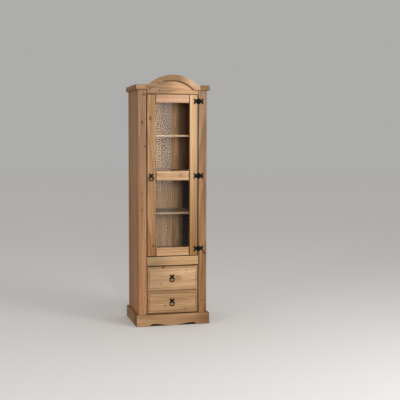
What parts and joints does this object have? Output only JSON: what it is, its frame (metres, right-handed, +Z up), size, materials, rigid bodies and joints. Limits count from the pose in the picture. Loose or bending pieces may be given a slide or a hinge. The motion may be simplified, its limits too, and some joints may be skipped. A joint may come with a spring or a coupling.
{
  "type": "display cabinet",
  "caption": "Tall waxed-pine display cabinet with an arched cornice, a glazed door on butterfly hinges, shelves, ring-pull drawers and a shaped plinth.",
  "frame": {"origin": "on the floor under the middle of the cabinet's outer box", "axes": "+Z up the height of the cabinet, +X to the right seen from the front, the front faces -Y"},
  "size_m": [0.552, 0.43, 1.85],
  "materials": {
    "waxed_pine": "waxed antique pine, satin",
    "inner_pine": "waxed pine, duller",
    "drawer_pine": "lightly waxed pine",
    "black_iron": "black antique, semi-matt",
    "glass": "clear float glass",
    "plated_steel": "zinc plated",
    "catch_plastic": "matt brown"
  },
  "bodies": {
    "carcass": {"side_panel_left": "waxed_pine", "side_panel_right": "waxed_pine", "front_post_left": "waxed_pine", "front_post_right": "waxed_pine", "base_panel": "inner_pine", "display_floor": "waxed_pine", "top_panel": "waxed_pine", "base_rail": "waxed_pine", "drawer_rail": "waxed_pine", "back_board_1": "inner_pine", "back_board_2": "inner_pine", "back_board_3": "inner_pine", "back_board_4": "inner_pine", "back_board_5": "inner_pine", "back_board_6": "inner_pine", "cornice_arch": "waxed_pine", "cornice_block_left": "waxed_pine", "cornice_block_right": "waxed_pine", "cornice_return_left": "waxed_pine", "cornice_return_right": "waxed_pine", "pediment_panel": "waxed_pine", "plinth_front": "waxed_pine", "plinth_side_left": "waxed_pine", "plinth_side_right": "waxed_pine", "shelf_lower": "waxed_pine", "shelf_middle": "waxed_pine", "shelf_upper": "waxed_pine", "shelf_pins": "plated_steel", "drawer_runners": "inner_pine", "catch_body": "catch_plastic", "hinge_leaves_post": "black_iron", "hinge_screws_post": "black_iron", "hinge_pins": "black_iron"},
    "door": {"door_stile_lock": "waxed_pine", "door_stile_hinge": "waxed_pine", "door_rail_top": "waxed_pine", "door_rail_middle": "waxed_pine", "door_rail_bottom": "waxed_pine", "glass_lower": "glass", "glass_upper": "glass", "glazing_beads": "waxed_pine", "hinge_leaves_door": "black_iron", "hinge_screws_door": "black_iron", "catch_plate": "plated_steel", "door_pull_plate": "black_iron"},
    "upper_drawer": {"upper_drawer_front": "waxed_pine", "upper_drawer_side_left": "drawer_pine", "upper_drawer_side_right": "drawer_pine", "upper_drawer_back": "drawer_pine", "upper_drawer_bottom": "drawer_pine", "upper_drawer_pull_plate": "black_iron"},
    "lower_drawer": {"lower_drawer_front": "waxed_pine", "lower_drawer_side_left": "drawer_pine", "lower_drawer_side_right": "drawer_pine", "lower_drawer_back": "drawer_pine", "lower_drawer_bottom": "drawer_pine", "lower_drawer_pull_plate": "black_iron"},
    "door_ring": {"door_pull_ring": "black_iron"},
    "upper_drawer_ring": {"upper_drawer_pull_ring": "black_iron"},
    "lower_drawer_ring": {"lower_drawer_pull_ring": "black_iron"}
  },
  "joints": [
    {"name": "door_hinge", "type": "hinge", "parent": "carcass", "child": "door", "pos_m": [0.1955, -0.204, 1.1135], "axis": [0, 0, 1], "range_deg": [0, 170]},
    {"name": "upper_drawer_slide", "type": "slide", "parent": "carcass", "child": "upper_drawer", "axis": [0, -1, 0], "range_m": [0, 0.26]},
    {"name": "lower_drawer_slide", "type": "slide", "parent": "carcass", "child": "lower_drawer", "axis": [0, -1, 0], "range_m": [0, 0.26]},
    {"name": "door_ring_swing", "type": "hinge", "parent": "door", "child": "door_ring", "pos_m": [-0.161, -0.2055, 1.10925], "axis": [-1, 0, 0], "range_deg": [0, 150]},
    {"name": "upper_drawer_ring_swing", "type": "hinge", "parent": "upper_drawer", "child": "upper_drawer_ring", "pos_m": [-0.005, -0.2055, 0.35825], "axis": [-1, 0, 0], "range_deg": [0, 150]},
    {"name": "lower_drawer_ring_swing", "type": "hinge", "parent": "lower_drawer", "child": "lower_drawer_ring", "pos_m": [-0.005, -0.2055, 0.1785], "axis": [-1, 0, 0], "range_deg": [0, 150]}
  ]
}
